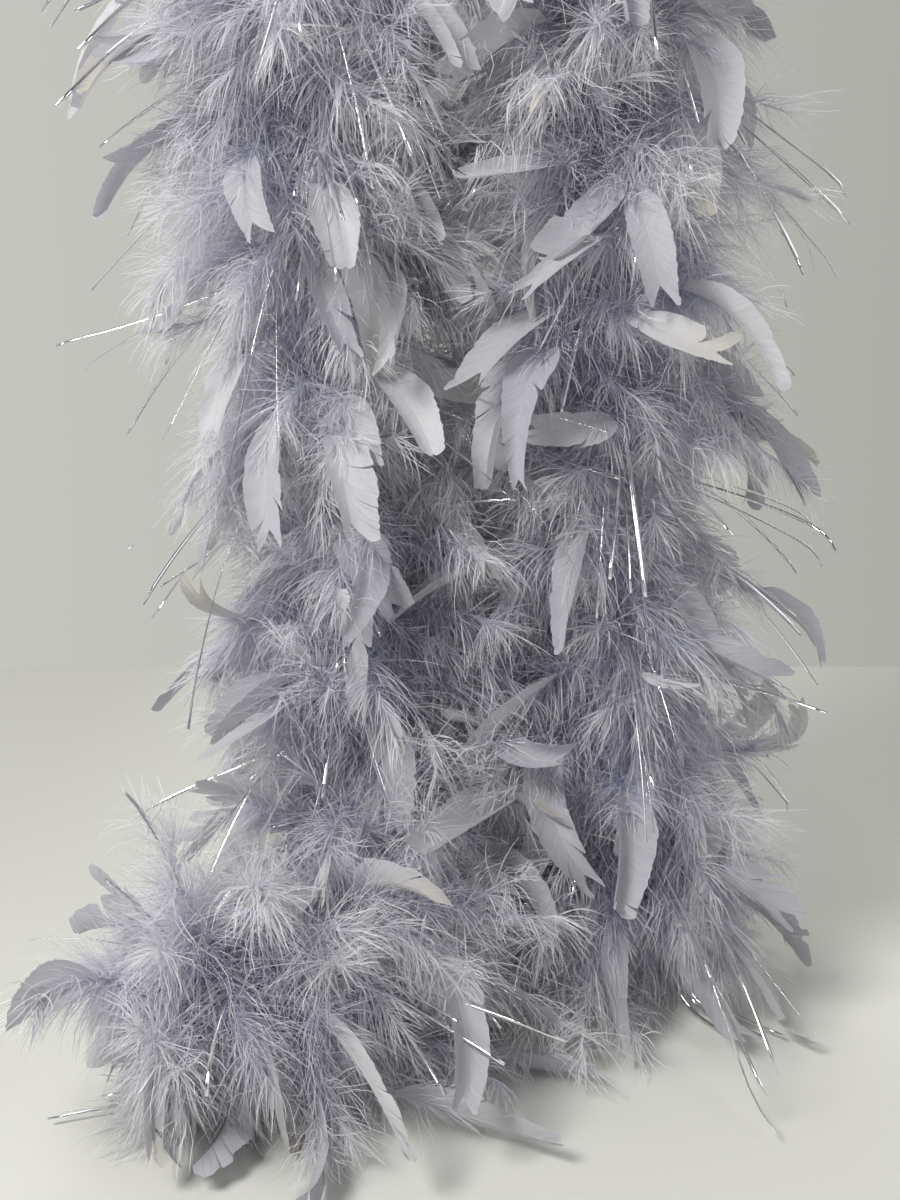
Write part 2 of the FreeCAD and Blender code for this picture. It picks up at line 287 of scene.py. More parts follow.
# End knots, and the cotton that frays beyond them
KNOT_RADIUS = 1.9 * MM
KNOT_SIZE = 3.4 * MM
KNOT_STRETCH = 1.6  # along the cord
KNOT_OFFSET = 5.5 * MM  # from the cord's end to the knot's middle
KNOT_ASIDE = 0.01  # keeps its rings' directions from vanishing where it runs along the cord
KNOT_POINTS = 96
KNOT_SIDES = 8
FRAY_THREADS = 26
FRAY_START = 4.0 * MM  # from the knot's middle
FRAY_LENGTH = (6.0 * MM, 11.0 * MM)
FRAY_SPREAD = 0.4
FRAY_RADIUS = 0.2 * MM
FRAY_POINTS = 7
FRAY_SIDES = 4

# Colours
# Down colours: darker near the quills, partly a deeper dye and partly painted shade inside the boa; paler
# at the outer ends, partly painted light
DOWN_DYE_AND_SHADE = (0.335, 0.34, 0.53)
DOWN_MIDDLE = (0.74, 0.738, 0.795)
DOWN_PALE = (0.92, 0.91, 0.905)
VANE_COOL = (0.40, 0.40, 0.465)
VANE_PALE = (0.67, 0.67, 0.70)
VANE_CREAM = (0.66, 0.61, 0.52)
STREAK_LENGTH = 0.8  # of the noise's scale, from a vane's quill to its edge
STREAK_VARIETY = 37.0  # how far apart in the noise the vanes lie
FILM_DARK = (0.80, 0.81, 0.84)
FILM_LIGHT = (0.93, 0.93, 0.95)
COTTON = ((0.42, 0.42, 0.50), (0.66, 0.66, 0.73))
THREAD = ((0.40, 0.40, 0.49), (0.60, 0.60, 0.69))

# Surfaces, as the settings of their shaders
DOWN_SURFACE = {
    "Roughness": 0.85,
    "Specular IOR Level": 0.15,
    "Sheen Weight": 0.25,
    "Sheen Roughness": 0.5,
}
VANE_SURFACE = {
    "Roughness": 0.46,
    "Specular IOR Level": 0.35,
    "Sheen Weight": 0.2,
    "Sheen Roughness": 0.4,
}
FILM_SURFACE = {"Metallic": 1.0, "Roughness": 0.13}
COTTON_SURFACE = {"Roughness": 0.9, "Sheen Weight": 0.3}
FLOOR_SURFACE = {"Roughness": 0.6, "Specular IOR Level": 0.2}

# Setting
FLOOR_HALF = 0.62
# Table colours: painted shade on the left, where the key lamp falls, and painted light on the right, where
# the boa's shadow falls
FLOOR_LEFT_PAINTED_SHADE = (0.54, 0.54, 0.51)
FLOOR_RIGHT_PAINTED_LIGHT = (0.755, 0.755, 0.715)
PAINTED_LIGHT_HALF = 0.3  # from the middle of the floor to where it has each of those colours
WALL_LEFT = (0.585, 0.580, 0.545)
WALL_RIGHT = (0.395, 0.400, 0.370)
ROOM_PALE = (0.50, 0.50, 0.48)
ROOM_DARK = (0.03, 0.03, 0.035)
WALL_BLEND = 0.4  # to either side of straight ahead, where the left wall's colour becomes the right's
FRONT_BLEND = 0.25  # the same between the wall and the room in front
BOA_MIDDLE = (0.0, 0.0, -0.55)


def unit(v):
    return v / np.maximum(np.linalg.norm(v, axis=-1, keepdims=True), 1e-12)


def mixed(low, high, share):
    return low + (high - low) * share


class Line:
    """The core cord's middle line. Places on it are counted from the top of the fold."""

    def __init__(self, points):
        self.points = points
        steps = np.linalg.norm(np.diff(points, axis=0), axis=1)
        along = np.concatenate([[0.0], np.cumsum(steps)])
        self.places = along - along[points[:, 2].argmax()]
        self.tangents = unit(np.gradient(points, along, axis=0))
        self.sides = self._untwisted()

    def _untwisted(self):
        """A direction square to the line that starts as the front and never twists about it."""
        side = np.array([0.0, -1.0, 0.0])
        sides = []
        for tangent in self.tangents:
            side = unit(side - tangent * side.dot(tangent))
            sides.append(side)
        return np.array(sides)

    def at(self, values, places):
        return np.stack([np.interp(places, self.places, values[:, k]) for k in range(3)], axis=-1)

    def nearest(self, point):
        """The index of the line's point nearest to that point."""
        return int(np.linalg.norm(self.points - point, axis=1).argmin())


def cord_line():
    """The line of one NURBS curve through the route."""
    curve = bpy.data.curves.new("core_route", "CURVE")
    curve.dimensions = "3D"
    curve.resolution_u = 16
    spline = curve.splines.new("NURBS")
    spline.points.add(len(ROUTE) - 1)
    for point, (x, y, height) in zip(spline.points, ROUTE):
        point.co = (x, y, height + SURFACE, 1.0)
    spline.order_u = 3
    spline.use_endpoint_u = True
    bare = bpy.data.objects.new("core_route", curve)
    mesh = bpy.data.meshes.new_from_object(bare)
    points = np.array([v.co for v in mesh.vertices], float)
    bpy.data.meshes.remove(mesh)
    bpy.data.objects.remove(bare)
    bpy.data.curves.remove(curve)
    return Line(points)


class Stretch:
    """A length of boa from place near to place far that holds one joint, or rides on one body."""

    def __init__(self, name, bodies, near, far, start=None, end=None):
        self.name = name
        self.bodies = bodies
        self.near = near
        self.far = far
        self.start = start
        self.end = end
        self.dice = np.random.default_rng([SEED, *name.encode()])

    def holds(self, place):
        low, high = sorted((self.near, self.far))
        return low <= place < high

    def attach(self, piece, kind):
        """The piece rides on the stretch's one body, or stays in place where the stretch holds a joint; it
        stands for its CAD nodes of that kind, which are hidden.
        """
        if self.start is None:
            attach(piece, self.bodies[0])
        else:
            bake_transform(piece)
        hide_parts(*[kind + "_" + body for body in self.bodies])


def stretches(line):
    found = []
    for side, end in (("left", line.places[0]), ("right", line.places[-1])):
        way = math.copysign(1.0, end)
        joints = [joint for joint in frame["joints"] if joint["name"].startswith(side)]
        spots = [line.nearest(np.array(joint["pos_m"])) for joint in joints]
        places = [line.places[spot] for spot in spots]
        edges = [0.0]
        for place, following in zip(places, places[1:] + [end]):
            edges.append((place + following) / 2)
        for joint, spot, near, far in zip(joints, spots, edges, edges[1:]):
            middle = np.array(joint["pos_m"])
            reach = line.tangents[spot] * way * BEND_REACH
            bodies = (joint["parent"], joint["child"])
            found.append(Stretch(joint["name"], bodies, near, far, middle - reach, middle + reach))
        found.append(Stretch(side + "_end", (joints[-1]["child"],), edges[-1], end + way * MM))
    return found


def islands(node):
    """The corner points of each separate solid of a CAD node."""
    mesh = frame["nodes"][node].data
    points = np.array([v.co for v in mesh.vertices], float)
    welded, same = np.unique(np.round(points / MM, 3), axis=0, return_inverse=True)
    same = same.ravel()
    owner = list(range(len(welded)))

    def top(k):
        while owner[k] != k:
            owner[k] = owner[owner[k]]
            k = owner[k]
        return k

    for polygon in mesh.polygons:
        corners = [top(same[v]) for v in polygon.vertices]
        for corner in corners:
            owner[top(corner)] = top(corners[0])
    groups = {}
    for k in range(len(welded)):
        groups.setdefault(top(k), []).append(k)
    return [welded[group] * MM for group in groups.values()]


class Plates:
    """The flat CAD solids of one kind, as arrays: where each is bound, its directions and its length."""

    def __init__(self, kind, line):
        rows = []
        for node in sorted(frame["nodes"]):
            if node.startswith(kind + "_"):
                rows += [self._row(corners, line) for corners in islands(node)]
        self.place, self.root, self.along, self.across, self.normal, self.length = (
            np.array(column) for column in zip(*rows)
        )
        ends = np.where(self.place < 0, -line.places[0], line.places[-1])
        self.to_end = ends - np.abs(self.place)
        lean = math.radians(PLATE_LEAN)
        self.out = self.along * math.sin(lean) + self.normal * math.cos(lean)
        self.end = self.along * math.cos(lean) - self.normal * math.sin(lean)

    @staticmethod
    def _row(corners, line):
        gaps = np.linalg.norm(corners[:, None] - line.points[None], axis=2)
        root = corners[gaps.min(axis=1).argsort()[:4]].mean(axis=0)
        along = unit(corners.mean(axis=0) - root)
        arms = corners - root
        length = (arms @ along).max()
        flat = arms - np.outer(arms @ along, along)
        across = unit(np.linalg.svd(flat, full_matrices=False)[2][0])
        spot = line.nearest(root)
        place = line.places[spot]
        normal = np.cross(along, across)
        if normal @ line.tangents[spot] * math.copysign(1.0, place) > 0:
            normal = -normal
        return place, root, along, np.cross(normal, along), normal, length

    def chosen(self, keep):
        part = object.__new__(Plates)
        for name, values in vars(self).items():
            setattr(part, name, values[keep])
        return part

    def inward(self):
        """How much each points at the boa's other half, from 0 to 1."""
        return np.maximum(0.0, -self.out[:, 0] * np.sign(self.place))

    def repeated(self, times):
        """Each of them several times over, and more often near the surface and between the halves."""
        piled = np.where(self.root[:, 2] - SURFACE < FOOT_HEIGHT, FOOT_TIMES, 1)
        between = np.where(self.inward() > INNER_POINTING, INNER_TIMES, 1)
        return self.chosen(np.repeat(np.arange(len(self.length)), times * np.maximum(piled, between)))

    def by_end(self, left, right):
        """1 in most places, changing to those values at the cord's left and right ends."""
        near_left = np.clip(self.to_end / LEFT_REACH, 0.0, 1.0)
        near_right = np.clip(self.to_end / RIGHT_REACH, 0.0, 1.0)
        return np.where(self.place < 0, mixed(left, 1.0, near_left), mixed(right, 1.0, near_right))

    def headings(self, leans, dice):
        """Directions of new quills, at leans drawn from that range, and square to them along the cord."""
        count = (len(self.length), 1)
        turn = np.radians(dice.normal(0.0, LEAN_TURN, count))
        out = self.out * np.cos(turn) + self.across * np.sin(turn)
        lean = np.radians(dice.uniform(*leans, count)) * self.by_end(LEFT_LEAN, RIGHT_LEAN)[:, None]
        return unit(out * np.sin(lean) + self.end * np.cos(lean)), unit(np.cross(self.end, out))

    def lengths(self, shares, dice):
        """New lengths: longer towards the boa's other half and at the right end, shorter at the left."""
        height = np.clip((self.root[:, 2] - SURFACE) / INNER_HEIGHT, 0.0, 1.0)
        usual = np.minimum(self.length * dice.uniform(*shares, len(self.length)), LONGEST)
        usual = usual + mixed(*INNER_LENGTH, height) * self.inward()
        return usual * self.by_end(LEFT_LENGTH, RIGHT_LENGTH)


class Quills:
    """The curved lines of many quills, with the directions along, across and square to each of them."""

    def __init__(self, plates, dice, leans, lengths, droop):
        count = (len(plates.length), 1)
        self.length = plates.lengths(lengths, dice)
        step = (self.length / QUILL_STEPS)[:, None]
        along, across = plates.headings(leans, dice)
        at = plates.root + plates.end * dice.uniform(-ROOT_STRAY, ROOT_STRAY, count)
        droops = dice.uniform(*droop, count) / QUILL_STEPS
        strong = dice.random(count) < STRONG_SHARE
        curls = dice.normal(0.0, np.where(strong, STRONG_CURL, CURL)) / QUILL_STEPS
        strong = dice.random(count) < STRONG_SHARE
        arches = dice.normal(0.0, np.where(strong, STRONG_ARCH, ARCH)) / QUILL_STEPS
        twists = dice.normal(0.0, TWIST, count) / QUILL_STEPS
        clearance = dice.uniform(*QUILL_CLEARANCE, count)
        rows = []
        for k in range(QUILL_STEPS + 1):
            share = k / QUILL_STEPS
            normal = np.cross(along, across)
            rows.append((at, along, across, normal))
            bent = across * curls + normal * arches
            along = along + DOWN * droops * mixed(*DROOP_GROWTH, share)
            along = along + bent * mixed(*BEND_GROWTH, share)
            floor = (SURFACE + clearance - at[:, 2:]) / (step * LEVELLING)
            along[:, 2:] = np.maximum(along[:, 2:], floor)
            along = unit(along)
            at = at + along * step
            across = unit(across - along * (across * along).sum(axis=1, keepdims=True))
            across = across * np.cos(twists) + np.cross(along, across) * np.sin(twists)
        self.points, self.along, self.across, self.normal = (
            np.stack(column, axis=1) for column in zip(*rows)
        )

    def lines(self):
        return self.points, self.along, self.across, self.normal

    def at(self, quill, share):
        """Point and directions on those quills, at those shares of their length."""
        where = np.clip(share, 0.0, 1.0) * QUILL_STEPS
        low = np.minimum(where.astype(int), QUILL_STEPS - 1)
        part = (where - low)[..., None]
        return [
            values[quill, low] * (1 - part) + values[quill, low + 1] * part
            for values in self.lines()
        ]


class Skin:
    """Collects points, four-cornered faces and per-point values, and makes one mesh of them."""

    def __init__(self):
        self.points = []
        self.faces = []
        self.values = {}
        self.count = 0

    def add(self, points, faces, **values):
        self.points.append(points.reshape(-1, 3))
        self.faces.append(faces.reshape(-1, 4) + self.count)
        self.count += len(self.points[-1])
        for name, value in values.items():
            filled = np.broadcast_to(value, points.shape[:-1]).ravel()
            self.values.setdefault(name, []).append(filled)

    def piece(self, name, material):
        points = np.concatenate(self.points)
        faces = np.concatenate(self.faces)
        mesh = bpy.data.meshes.new(name)
        mesh.vertices.add(len(points))
        mesh.vertices.foreach_set("co", points.astype(np.float32).ravel())
        mesh.loops.add(faces.size)
        mesh.loops.foreach_set("vertex_index", faces.astype(np.int32).ravel())
        mesh.polygons.add(len(faces))
        mesh.polygons.foreach_set("loop_start", np.arange(0, faces.size, 4, dtype=np.int32))
        mesh.polygons.foreach_set("use_smooth", np.ones(len(faces), bool))
        for key, value in self.values.items():
            attribute = mesh.attributes.new(key, "FLOAT", "POINT")
            attribute.data.foreach_set("value", np.concatenate(value).astype(np.float32))
        mesh.update(calc_edges=True)
        mesh.materials.append(material)
        made = bpy.data.objects.new(name, mesh)
        bpy.context.scene.collection.objects.link(made)
        return made


def grid_faces(rows, columns, closed=False):
    """Faces between neighbouring rows and columns of a grid of points, numbered row by row."""
    row = np.arange(rows - 1)[:, None] * columns
    column = np.arange(columns if closed else columns - 1)[None]
    following = (column + 1) % columns
    corners = (row + column, row + following, row + columns + following, row + columns + column)
    return np.stack(corners, axis=-1).reshape(-1, 4)


def many(faces, points_each, count):
    """The faces of one item repeated for count items."""
    return (faces[None] + np.arange(count)[:, None, None] * points_each).reshape(-1, 4)


def pressed(gap, softness):
    """The gap to a limit, pressed together over that softness so that it never reaches zero."""
    return np.where(gap < softness, softness * np.exp(np.minimum(gap / softness - 1.0, 0.0)), gap)


def settled(points):
    """Points kept above the surface and inside the room for the boa."""
    low, high = np.array(cad_box)
    room = (high - low) * ROOM_SHARE + ROOM
    points = high + room - pressed(high + room - points, SOFT_EDGE)
    points = low - room + pressed(points - (low - room), SOFT_EDGE)
    floor = SURFACE + SURFACE_GAP
    points[..., 2] = floor + pressed(points[..., 2] - floor, SOFT_FLOOR)
    return points


def tube(skin, points, first, second, radius, sides, **values):
    """A tube round rows of points, with two directions square to it and its radius at each point."""
    turn = np.linspace(0.0, 2 * math.pi, sides, endpoint=False)
    around = first[:, None] * np.cos(turn)[:, None] + second[:, None] * np.sin(turn)[:, None]
    rings = points[:, None] + around * np.reshape(radius, (-1, 1, 1))
    skin.add(rings, grid_faces(len(points), sides, closed=True), **values)


def outline(share, kind):
    """A vane's barb length as a share of its width, from the start of the vane, 0, to its tip, 1."""
    _, full, tip, fade, _ = KINDS[kind]
    grown = np.clip(share / full, 0.0, 1.0)
    return mixed(VANE_FOOT, 1.0, grown * (2 - grown)) * mixed(1.0, tip, share**fade)


def vane_side(skin, quills, number, side, shape, dice):
    """One side of a feather's vane: barb lines that hold together in locks, split from each other."""
    kind, start, width, tint, tip = shape
    share = np.linspace(0.0, 1.0, VANE_LINES)
    places = mixed(start, FISH_TAIL_STOP if kind == "fish_tail" else VANE_STOP, share)
    root, along, across, normal = quills.at(np.full(VANE_LINES, number), places)
    slant = np.radians(mixed(*VANE_SLANT, share**SLANT_LATE) + dice.normal(0.0, SLANT_STRAY))
    length = width * outline(share, kind) * dice.uniform(*EDGE_STRAY, VANE_LINES)
    to_tip = (1.0 - places) * quills.length[number] + KINDS[kind][-1]
    length = np.minimum(length, to_tip / np.cos(slant - BARB_LINE_BEND / 2))
    cuts = np.flatnonzero(dice.random(VANE_LINES - 2) < mixed(*VANE_CUTS, share[1:-1])) + 1
    edges = [0, *cuts.tolist(), VANE_LINES - 1]
    cup = dice.uniform(*VANE_CUP)
    drawn = dice.uniform(*(RAGGED_DRAWN if dice.random() < RAGGED_SHARE else USUAL_DRAWN))
    across_share = np.linspace(0.0, 1.0, VANE_POINTS)
    for first, last in zip(edges, edges[1:]):
        lines = slice(first, last + 1)
        offset = dice.normal(0.0, LOCK_TURN) * across_share
        lift = dice.normal(-cup, LOCK_LIFT)
        in_lock = np.abs(np.linspace(-1.0, 1.0, last - first + 1))[:, None]
        angle = slant[lines, None] - BARB_LINE_BEND * across_share + offset
        reach = length[lines, None] * (1.0 - LOCK_ROUNDING * in_lock**3)
        step = reach / (VANE_POINTS - 1)
        out = np.cumsum(np.sin(angle) * step, axis=1) - np.sin(angle[:, :1]) * step
        forward = np.cumsum(np.cos(angle) * step, axis=1) - np.cos(angle[:, :1]) * step
        rise = lift * reach * across_share**2
        points = (
            root[lines, None]
            + across[lines, None] * (side * out)[..., None]
            + along[lines, None] * forward[..., None]
            + normal[lines, None] * rise[..., None]
        )
        pull = drawn * across_share[None, :, None] ** 2
        points = points + (points.mean(axis=0) - points) * pull
        skin.add(
            settled(points),
            grid_faces(last - first + 1, VANE_POINTS),
            tone=tint,
            cream=tip * share[lines, None] ** 2,
            barb=(places * quills.length[number] / MM)[lines, None],
            edge=across_share[None],
        )


def vanes(skin, quills, dice):
    """Every flat feather's quill and the closed vane near its tip. Gives back where each vane starts."""
    starts = []
    for number in range(len(quills.length)):
        kind = dice.choice(list(KINDS), p=[row[0] for row in KINDS.values()])
        start = dice.uniform(*(WISP_START if kind == "wisp" else VANE_START))
        width = dice.uniform(*(WISP_WIDTH if kind == "wisp" else VANE_WIDTH))
        width *= min(1.0, quills.length[number] / SHORT_FLAT)
        tint = dice.uniform()
        tip = dice.uniform(*CREAM) if dice.random() < CREAM_SHARE else 0.0
        narrow = dice.uniform(VANE_NARROW_SIDE, 1.0)
        widths = (width, width * narrow) if dice.random() < 0.5 else (width * narrow, width)
        for side, side_width in zip((-1, 1), widths):
            vane_side(skin, quills, number, side, (kind, start, side_width, tint, tip), dice)
        points, _, across, normal = (rows[number, :-1] for rows in quills.lines())
        radius = mixed(*QUILL_RADIUS, np.linspace(0.0, 1.0, QUILL_STEPS))
        values = {"tone": 1.0, "cream": QUILL_CREAM, "barb": 0.0, "edge": 0.5}
        tube(skin, settled(points), across, normal, radius, QUILL_SIDES, **values)
        starts.append(start)
    return np.array(starts)


def middles(points, group, groups):
    """The mean of each group's points, repeated for every member of the group."""
    flat = points.reshape(len(points), -1)
    sums = np.stack([np.bincount(group, column, groups) for column in flat.T], axis=1)
    counts = np.maximum(np.bincount(group, minlength=groups), 1)
    return (sums / counts[:, None])[group].reshape(points.shape)


def barbs(skin, quills, each, last, dice):
    """Loose down barbs on every quill, up to a share of its length, in locks that droop and wave."""
    each = min(each, BARBS_IN_PIECE // len(quills.length))
    count = len(quills.length) * each
    quill = np.repeat(np.arange(len(quills.length)), each)
    place = dice.random(count)
    second_side = dice.random(count) < 0.5
    lock = (quill * 2 + second_side) * LOCKS + (place * LOCKS).astype(int)
    locks = len(quills.length) * 2 * LOCKS

    def varied(usual, by_lock, by_barb):
        """A usual value that strays by lock, and by barb within each lock."""
        return usual + dice.normal(0.0, by_lock, locks)[lock] + dice.normal(0.0, by_barb, count)

    share = mixed(FIRST_BARB, 1.0, place**BARB_CROWDING) * np.repeat(last, each)
    at, along, across, normal = quills.at(quill, share)
    side = np.where(second_side, -1.0, 1.0)
    roll = varied(*BARB_ROLL)
    out = across * (side * np.cos(roll))[:, None] + normal * np.sin(roll)[:, None]
    opening = np.radians(varied(mixed(*BARB_OPENING, place), *OPENING_STRAY))[:, None]
    heading = along * np.cos(opening) + out * np.sin(opening)
    size = np.repeat(np.minimum(1.0, quills.length / SHORT_PLUME), each)
    size = size * (1.0 - TIP_SHORTER * place**2)
    reach = BARB_LENGTH * size * np.clip(varied(*BARB_REACH), *REACH_LIMITS)
    step = (reach / BARB_STEPS)[:, None]
    droop = np.abs(varied(*BARB_DROOP))[:, None]
    loose = unit(unit(dice.normal(size=(locks, 3)))[lock] + dice.normal(0.0, AXIS_STRAY, (count, 3)))
    phase = varied(*BARB_PHASE)[:, None]
    wave = np.abs(varied(*BARB_WAVE))[:, None]
    steps_share = np.linspace(0.0, 1.0, BARB_STEPS + 1)
    rows = []
    for k in range(BARB_STEPS + 1):
        rows.append(at)
        sway = np.cross(heading, loose) * np.sin(phase + WAVE_STEP * k) * wave
        heading = unit(heading + DOWN * droop + along * BARB_SWEEP + sway)
        at = at + heading * step
    points = np.stack(rows, axis=1)
    drawn = dice.uniform(*CLUMPING, locks)[lock, None, None] * steps_share[:, None] ** CLUMP_RISE
    points = points + (middles(points, lock, locks) - points) * drawn
    width = unit(np.cross(heading, unit(dice.normal(size=(count, 3)))))
    taper = BARB_WIDTH / 2 * np.array(BARB_TAPER)[None] * dice.uniform(*WIDTH_STRAY, (count, 1))
    spread = width[:, None] * taper[..., None]
    points = settled(np.stack([points - spread, points + spread], axis=2))
    # How far out each point lies; the down material darkens points near the quill with it, partly as
    # painted shade
    out_share = np.clip((share[:, None, None] + steps_share[:, None]) / 2, 0.0, 1.0)
    points_each = 2 * (BARB_STEPS + 1)
    faces = many(grid_faces(BARB_STEPS + 1, 2), points_each, count)
    tint = dice.random(len(quills.length))[quill] + dice.random(locks)[lock] + dice.random(count)
    skin.add(points, faces, tone=tint[:, None, None] / 3, out=out_share)


def tinsel_strips(skin, plates, dice):
    """Thin strips of metallised film at every CAD strip, a little apart, bent and twisted."""
    headings, _ = plates.headings(TINSEL_LEAN, dice)
    for number in range(len(plates.length)):
        for _ in range(TINSEL_EACH):
            length = plates.length[number] * dice.uniform(*TINSEL_LENGTH)
            step = (length + dice.uniform(*TINSEL_MORE)) / TINSEL_STEPS
            along = unit(headings[number] + dice.normal(0.0, TINSEL_STRAY, 3))
            across = unit(plates.across[number] - along * (plates.across[number] @ along))
            at = plates.root[number].copy()
            bend = dice.normal(0.0, TINSEL_BEND) / TINSEL_STEPS
            droop = dice.uniform(*TINSEL_DROOP) / TINSEL_STEPS
            twist = dice.normal(0.0, TINSEL_TWIST) / TINSEL_STEPS
            turned = dice.uniform(-TINSEL_TURN, TINSEL_TURN)
            across = across * math.cos(turned) + np.cross(along, across) * math.sin(turned)
            rows = []
            for _ in range(TINSEL_STEPS + 1):
                normal = np.cross(along, across)
                half = across * TINSEL_WIDTH / 2
                thick = normal * TINSEL_THICKNESS / 2
                lower = [at - half - thick, at + half - thick]
                rows.append(lower + [at + half + thick, at - half + thick])
                along = along + DOWN * droop + normal * (bend + dice.normal(0.0, TINSEL_CRINKLE))
                floor = (SURFACE + TINSEL_CLEARANCE - at[2]) / (step * LEVELLING)
                along[2] = max(along[2], floor)
                along = unit(along)
                at = at + along * step
                across = across * math.cos(twist) + np.cross(along, across) * math.sin(twist)
                across = unit(across - along * (across @ along))
            points = settled(np.array(rows))
            ends = np.array([[3, 2, 1, 0], np.arange(4) + 4 * TINSEL_STEPS])
            faces = np.concatenate([grid_faces(TINSEL_STEPS + 1, 4, closed=True), ends])
            skin.add(points, faces, tone=dice.random())


def thread_wraps(skin, stretch, line):
    """Turns of binding thread round the cord, at each CAD collar of the stretch."""
    for body in stretch.bodies:
        for corners in islands("binding_thread_" + body):
            middle = (corners.min(axis=0) + corners.max(axis=0)) / 2
            spot = line.nearest(middle)
            if not stretch.holds(line.places[spot]):
                continue
            share = np.linspace(0.0, 1.0, THREAD_TURNS * THREAD_POINTS + 1)
            turn = share * THREAD_TURNS * 2 * math.pi
            place = line.places[spot] + (share - 0.5) * THREAD_WIDTH
            centre = line.at(line.points, place)
            tangent = unit(line.at(line.tangents, place))
            front = unit(line.at(line.sides, place))
            side = np.cross(tangent, front)
            out = front * np.cos(turn)[:, None] + side * np.sin(turn)[:, None]
            points = centre + out * THREAD_COIL
            tube(skin, points, out, tangent, np.full(len(points), THREAD_RADIUS), THREAD_SIDES, tone=0.5)


def core(skin, stretch, line):
    """The stretch's twisted plies. Gives back the points of the middle line that they follow."""
    low, high = sorted((stretch.near, stretch.far))
    low = max(low, line.places[0])
    high = min(high, line.places[-1])
    place = np.linspace(low, high, math.ceil((high - low) / PLY_STEP) + 1)
    centre = line.at(line.points, place)
    tangent = unit(line.at(line.tangents, place))
    front = unit(line.at(line.sides, place))
    side = np.cross(tangent, front)
    for ply in range(PLIES):
        turn = (place / PLY_PITCH + ply / PLIES) * 2 * math.pi
        out = front * np.cos(turn)[:, None] + side * np.sin(turn)[:, None]
        radius = np.full(len(place), PLY_RADIUS)
        tube(skin, centre + out * PLY_OFFSET, out, np.cross(tangent, out), radius, PLY_SIDES, tone=ply / 2)
    return centre if stretch.near < stretch.far else centre[::-1]


def end_knot(line, end, dice):
    """The overhand knot in the cord's end, a trefoil drawn tight, with frayed cotton below it."""
    spot = 0 if end < 0 else -1
    away = line.tangents[spot] * math.copysign(1.0, end)
    front = line.sides[spot]
    side = np.cross(away, front)
    centre = line.points[spot] + away * KNOT_OFFSET
    turn = np.linspace(0.0, 2 * math.pi, KNOT_POINTS)
    to_front = (np.sin(turn) + 2 * np.sin(2 * turn))[:, None] * front
    to_side = (np.cos(turn) - 2 * np.cos(2 * turn))[:, None] * side
    to_away = -np.sin(3 * turn)[:, None] * away * KNOT_STRETCH
    points = centre + (to_front + to_side + to_away) * KNOT_SIZE / 3
    heading = unit(np.gradient(points, axis=0))
    first = unit(np.cross(heading, away + KNOT_ASIDE))
    radius = np.full(KNOT_POINTS, KNOT_RADIUS)
    skin = Skin()
    tube(skin, points, first, np.cross(heading, first), radius, KNOT_SIDES, tone=0.5)
    share = np.linspace(0.0, 1.0, FRAY_POINTS)[:, None]
    fronts = np.tile(front, (FRAY_POINTS, 1))
    sides = np.tile(side, (FRAY_POINTS, 1))
    radius = np.full(FRAY_POINTS, FRAY_RADIUS)
    for _ in range(FRAY_THREADS):
        lean = front * dice.normal(0.0, FRAY_SPREAD) + side * dice.normal(0.0, FRAY_SPREAD)
        fray = centre + unit(away + lean * share) * (FRAY_START + share * dice.uniform(*FRAY_LENGTH))
        tube(skin, settled(fray), fronts, sides, radius, FRAY_SIDES, tone=0.7)
    return skin


# Materials


def new_material(name):
    material = bpy.data.materials.new(name)
    material.use_nodes = True
    material.node_tree.nodes.clear()
    return material, material.node_tree


def node(tree, kind, **settings):
    made = tree.nodes.new(kind)
    for name, value in settings.items():
        if name in made.inputs:
            made.inputs[name].default_value = value
        else:
            setattr(made, name, value)
    return made


def ramp(tree, value, stops):
    made = node(tree, "ShaderNodeValToRGB")
    made.color_ramp.elements.remove(made.color_ramp.elements[1])
    for number, (place, colour) in enumerate(stops):
        element = made.color_ramp.elements[0] if number == 0 else made.color_ramp.elements.new(place)
        element.position = place
        element.color = (*colour, 1.0)
    tree.links.new(value, made.inputs["Fac"])
    return made.outputs["Color"]


def math_node(tree, operation, first, second):
    made = node(tree, "ShaderNodeMath", operation=operation)
    for socket, value in zip(made.inputs, (first, second)):
        if isinstance(value, (int, float)):
            socket.default_value = value
        else:
            tree.links.new(value, socket)
    return made.outputs[0]


def weighted(tree, *parts):
    """The sum of some values, each times its weight."""
    scaled = [math_node(tree, "MULTIPLY", value, weight) for value, weight in parts]
    total = scaled[0]
    for value in scaled[1:]:
        total = math_node(tree, "ADD", total, value)
    return total


def mix_colour(tree, share, first, second):
    made = node(tree, "ShaderNodeMix", data_type="RGBA")
    for socket, value in ((made.inputs[0], share), (made.inputs[6], first), (made.inputs[7], second)):
        if isinstance(value, (int, float, tuple)):
            socket.default_value = value
        else:
            tree.links.new(value, socket)
    return made.outputs[2]


def ranged(tree, value, low, high):
    """0 to 1 as the value goes from low to high, and no further."""
    made = node(tree, "ShaderNodeMapRange")
    made.inputs["From Min"].default_value = low
    made.inputs["From Max"].default_value = high
    tree.links.new(value, made.inputs["Value"])
    return made.outputs[0]


def attribute(tree, name):
    return node(tree, "ShaderNodeAttribute", attribute_name=name).outputs["Fac"]


def object_noise(tree, scale, detail=3.0):
    where = node(tree, "ShaderNodeTexCoord").outputs["Object"]
    noise = node(tree, "ShaderNodeTexNoise", Scale=scale, Detail=detail)
    tree.links.new(where, noise.inputs["Vector"])
    return noise.outputs["Fac"]


